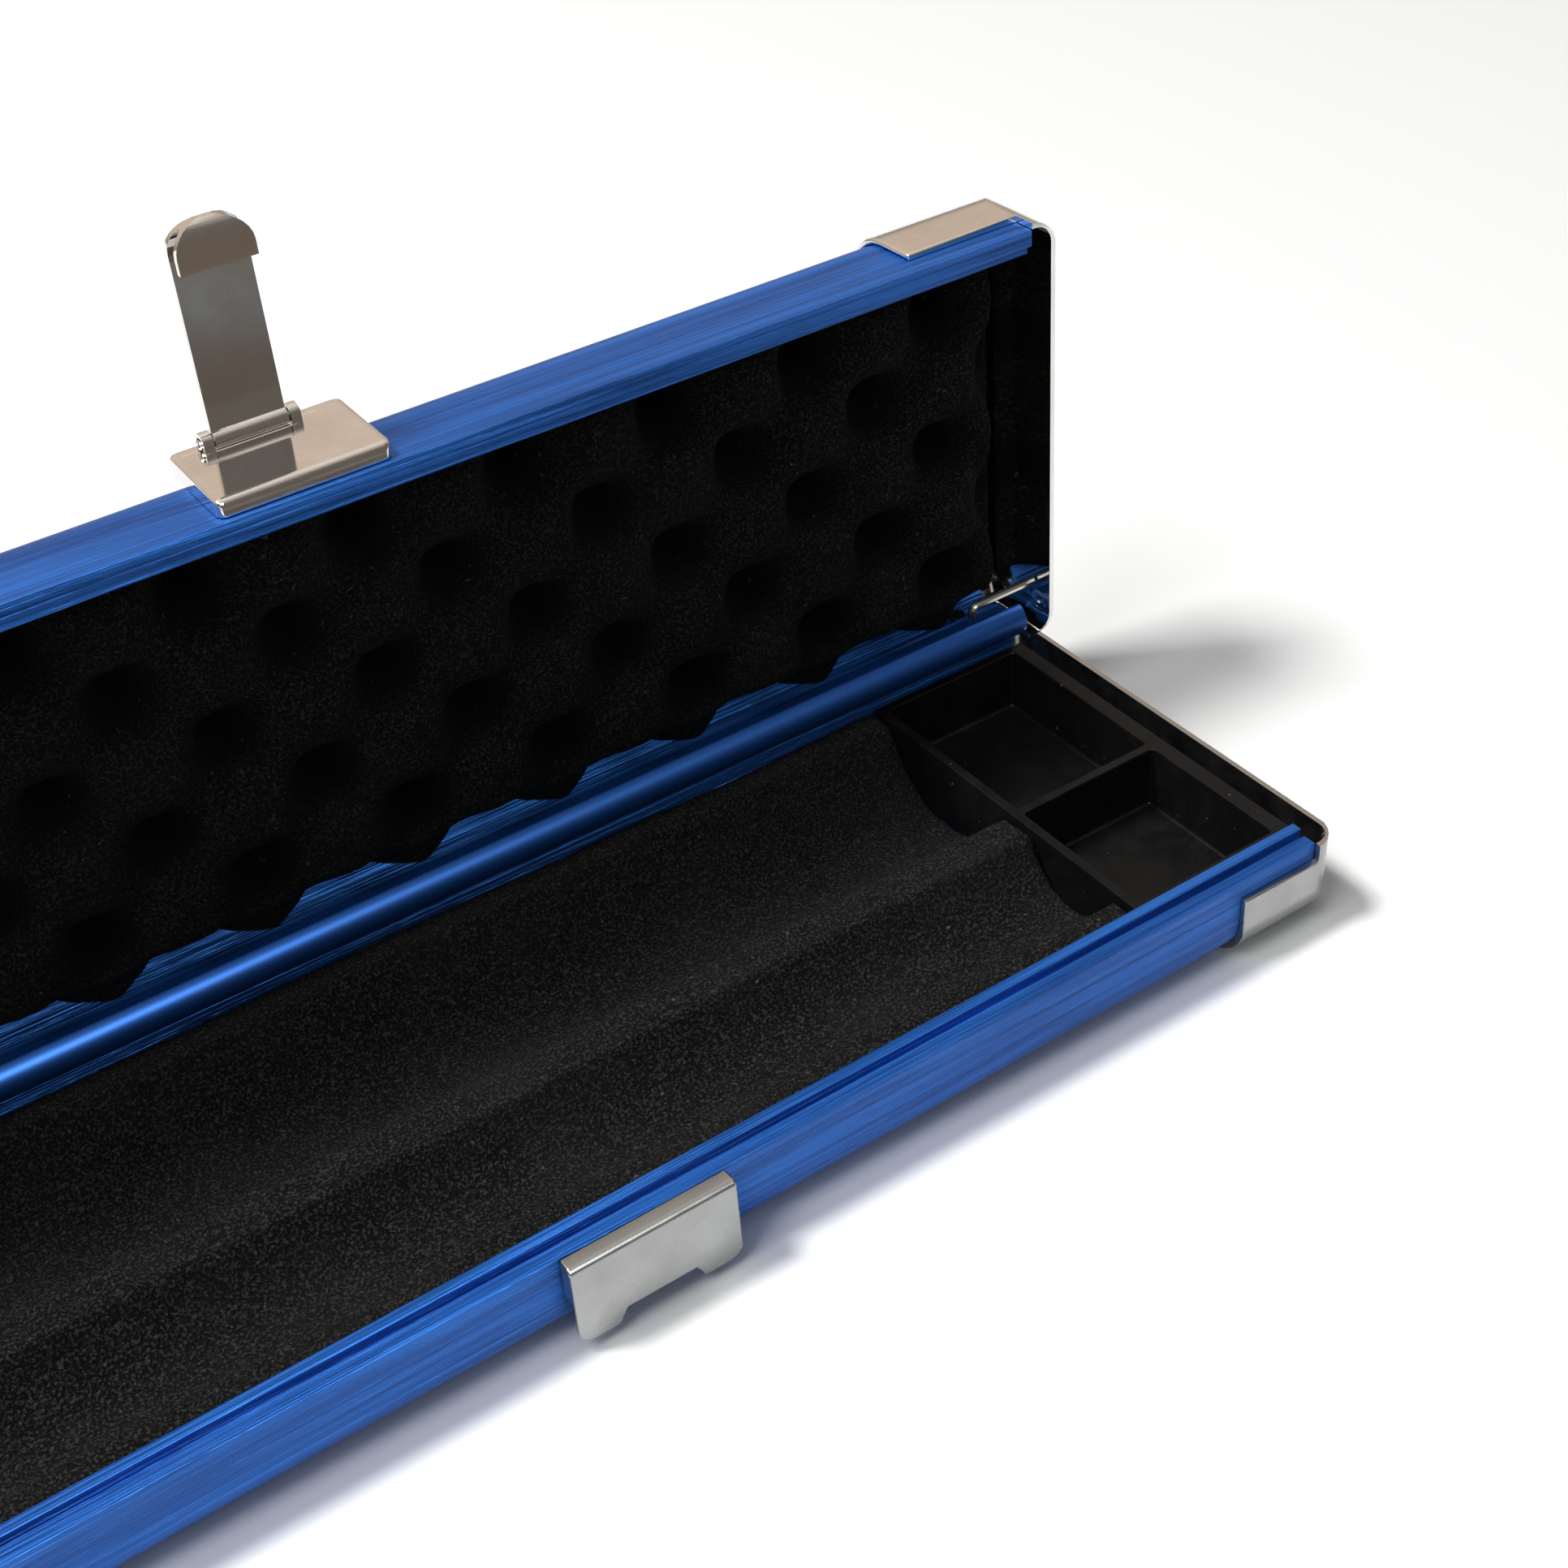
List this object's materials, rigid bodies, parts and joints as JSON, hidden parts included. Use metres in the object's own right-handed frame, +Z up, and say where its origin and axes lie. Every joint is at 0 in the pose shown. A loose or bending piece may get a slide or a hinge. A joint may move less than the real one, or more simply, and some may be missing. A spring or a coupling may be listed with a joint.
{
  "type": "cue case",
  "caption": "Long hinged aluminium case with chrome end caps, two draw latches, a foam bed for a jointed cue and an accessory tray.",
  "frame": {"origin": "centre of the body extrusion's underside", "axes": "+X along the case towards the accessory tray, +Y from the latches to the hinge, +Z up"},
  "size_m": [0.84, 0.1589, 0.1723],
  "materials": {
    "blue_anodised": "blue anodised, satin, with fine lengthwise draw lines",
    "chrome": "bright plated",
    "steel": "bright",
    "black_foam": "flocked foam, matte",
    "black_plastic": "satin moulding",
    "black_rubber": "matte"
  },
  "bodies": {
    "case": {"body_shell": "blue_anodised", "body_cap_left": "chrome", "body_cap_right": "chrome", "body_foam": "black_foam", "accessory_tray": "black_plastic", "keeper_left": "chrome", "keeper_right": "chrome", "handle_bracket_left": "chrome", "handle_bracket_right": "chrome", "body_cap_rivet_1": "steel", "body_cap_rivet_2": "steel", "keeper_rivet_1": "steel", "keeper_rivet_2": "steel", "keeper_rivet_3": "steel", "keeper_rivet_4": "steel", "handle_rivet_1": "steel", "handle_rivet_2": "steel"},
    "lid": {"lid_shell": "blue_anodised", "lid_cap_left": "chrome", "lid_cap_right": "chrome", "lid_foam": "black_foam", "latch_base_left": "chrome", "latch_base_right": "chrome", "latch_pin_left": "steel", "latch_pin_right": "steel", "hinge_clip_left": "steel", "hinge_clip_right": "steel", "lid_cap_rivet_1": "steel", "lid_cap_rivet_2": "steel", "latch_rivet_1": "steel", "latch_rivet_2": "steel", "latch_rivet_3": "steel", "latch_rivet_4": "steel"},
    "lever_left": {"latch_lever_left": "chrome"},
    "lever_right": {"latch_lever_right": "chrome"},
    "handle": {"handle_bail": "chrome", "handle_grip": "black_rubber"}
  },
  "joints": [
    {"name": "lid_hinge", "type": "hinge", "parent": "case", "child": "lid", "pos_m": [0, 0.0476, 0.0269], "axis": [1, 0, 0], "range_deg": [0, 91.2]},
    {"name": "latch_left", "type": "hinge", "parent": "lid", "child": "lever_left", "pos_m": [-0.2475, 0.06385, 0.12948], "axis": [1, 0, 0], "range_deg": [-30, 90]},
    {"name": "latch_right", "type": "hinge", "parent": "lid", "child": "lever_right", "pos_m": [0.2475, 0.06385, 0.12948], "axis": [1, 0, 0], "range_deg": [-30, 90]},
    {"name": "handle", "type": "hinge", "parent": "case", "child": "handle", "pos_m": [0, -0.0546, 0.0085], "axis": [-1, 0, 0], "range_deg": [0, 85]}
  ]
}
